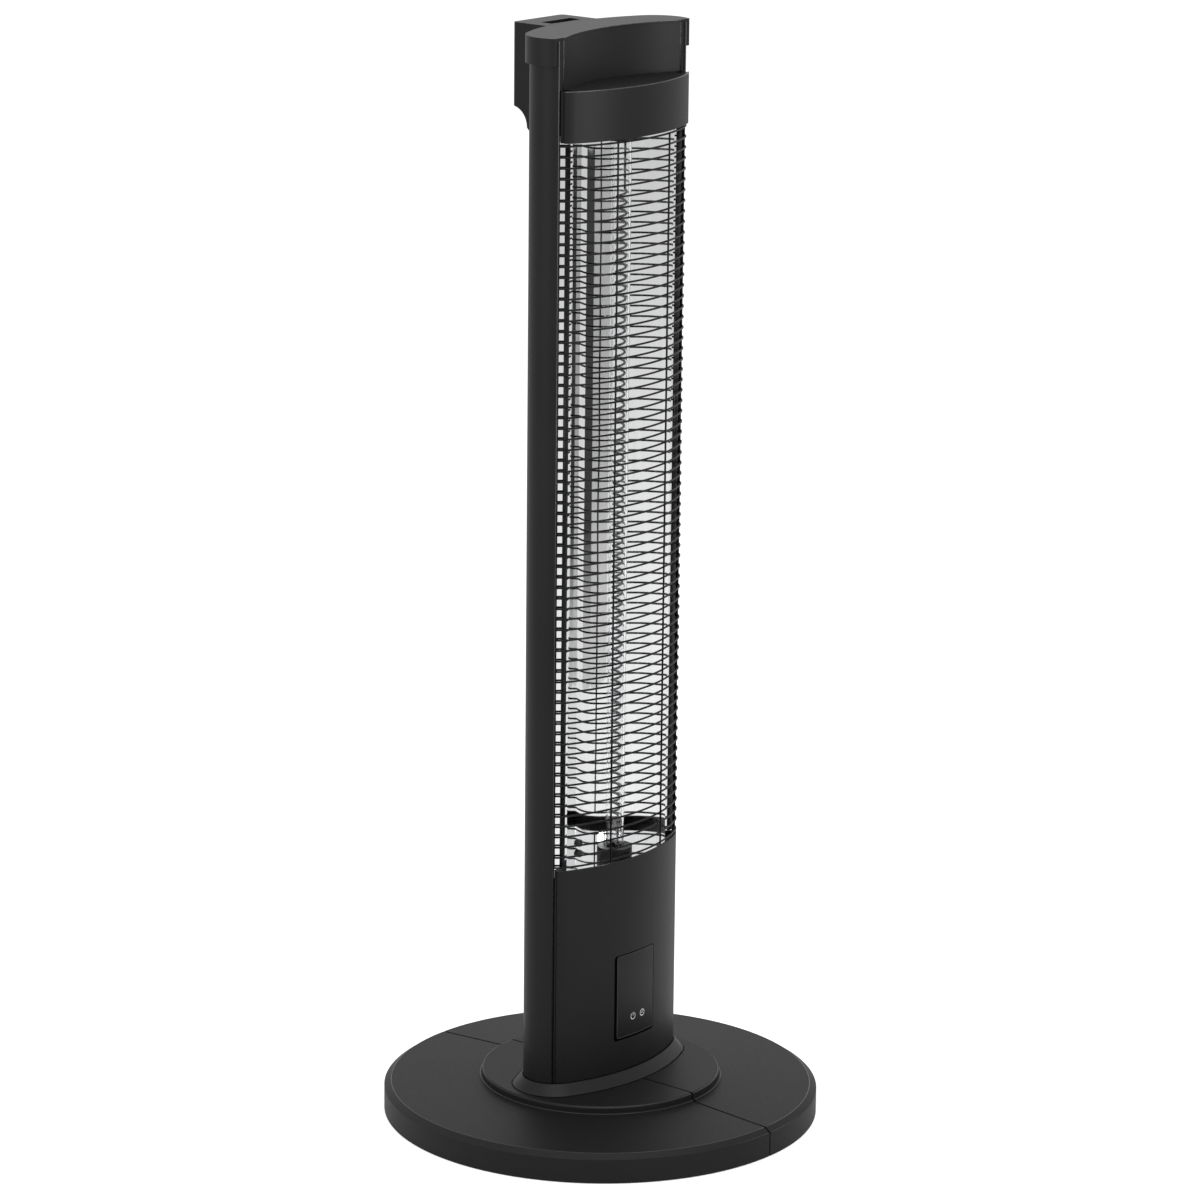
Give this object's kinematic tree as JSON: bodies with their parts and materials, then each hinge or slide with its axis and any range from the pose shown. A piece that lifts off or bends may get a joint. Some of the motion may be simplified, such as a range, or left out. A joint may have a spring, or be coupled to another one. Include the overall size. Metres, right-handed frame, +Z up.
{
  "type": "infrared heater",
  "caption": "Free-standing black infrared tower heater with a curved wire guard over a mirror reflector and upright quartz tube, touch panel, round base and remote holder.",
  "frame": {"origin": "on the floor, under the middle of the round base", "axes": "+Z up, -Y towards the front with the wire guard, +X to the right seen from the front"},
  "size_m": [0.3994, 0.398, 1],
  "materials": {
    "base_black": "satin",
    "shell_black": "satin",
    "guard_black": "satin",
    "mirror_sheet": "polished",
    "shield_aluminium": "mill",
    "panel_gloss": "gloss",
    "board_green": "gloss",
    "ballast_iron": "raw",
    "foot_rubber": "matte",
    "zinc_steel": "zinc plated",
    "ceramic_black": "matte",
    "quartz": "clear",
    "spiral_alloy": "dark oxide",
    "standoff_brass": "turned",
    "switch_black": "matte",
    "rocker_gloss": "gloss",
    "plunger_plastic": "matte",
    "lead_sleeve": "matte"
  },
  "bodies": {
    "heater": {"ballast_left": "ballast_iron", "ballast_right": "ballast_iron", "base_feet": "foot_rubber", "base_half_left": "base_black", "base_half_right": "base_black", "base_screws": "zinc_steel", "board_bracket": "zinc_steel", "board_standoffs": "standoff_brass", "cable_gland": "switch_black", "control_board": "board_green", "element_leads": "lead_sleeve", "foot_plate": "zinc_steel", "foot_skirt": "shell_black", "front_cover": "shell_black", "guard_grille": "guard_black", "guard_rail_left": "guard_black", "guard_rail_right": "guard_black", "heat_shield": "shield_aluminium", "heating_spiral": "spiral_alloy", "lower_reflector": "mirror_sheet", "main_reflector": "mirror_sheet", "quartz_tube": "quartz", "rear_shell": "shell_black", "recess_panel": "shell_black", "reflector_screw": "zinc_steel", "remote_holder": "shell_black", "rocker_frame": "switch_black", "terminal_block": "switch_black", "thermal_cutout": "switch_black", "tip_switch_housing": "switch_black", "top_cap": "shell_black", "touch_board": "board_green", "touch_panel": "panel_gloss", "tube_holders": "ceramic_black", "upper_reflector": "mirror_sheet", "visor": "shell_black"},
    "mains_rocker": {"main_rocker": "rocker_gloss"},
    "tip_rod": {"tip_plunger": "plunger_plastic"}
  },
  "joints": [
    {"name": "mains_rocker_tilt", "type": "hinge", "parent": "heater", "child": "mains_rocker", "pos_m": [0, 0.041, 0.12], "axis": [-1, 0, 0], "range_deg": [0, 20]},
    {"name": "tip_rod_slide", "type": "slide", "parent": "heater", "child": "tip_rod", "axis": [0, 0, -1], "range_m": [0, 0.005], "stiffness_N_per_m": 60, "springref_m": 0.006}
  ]
}
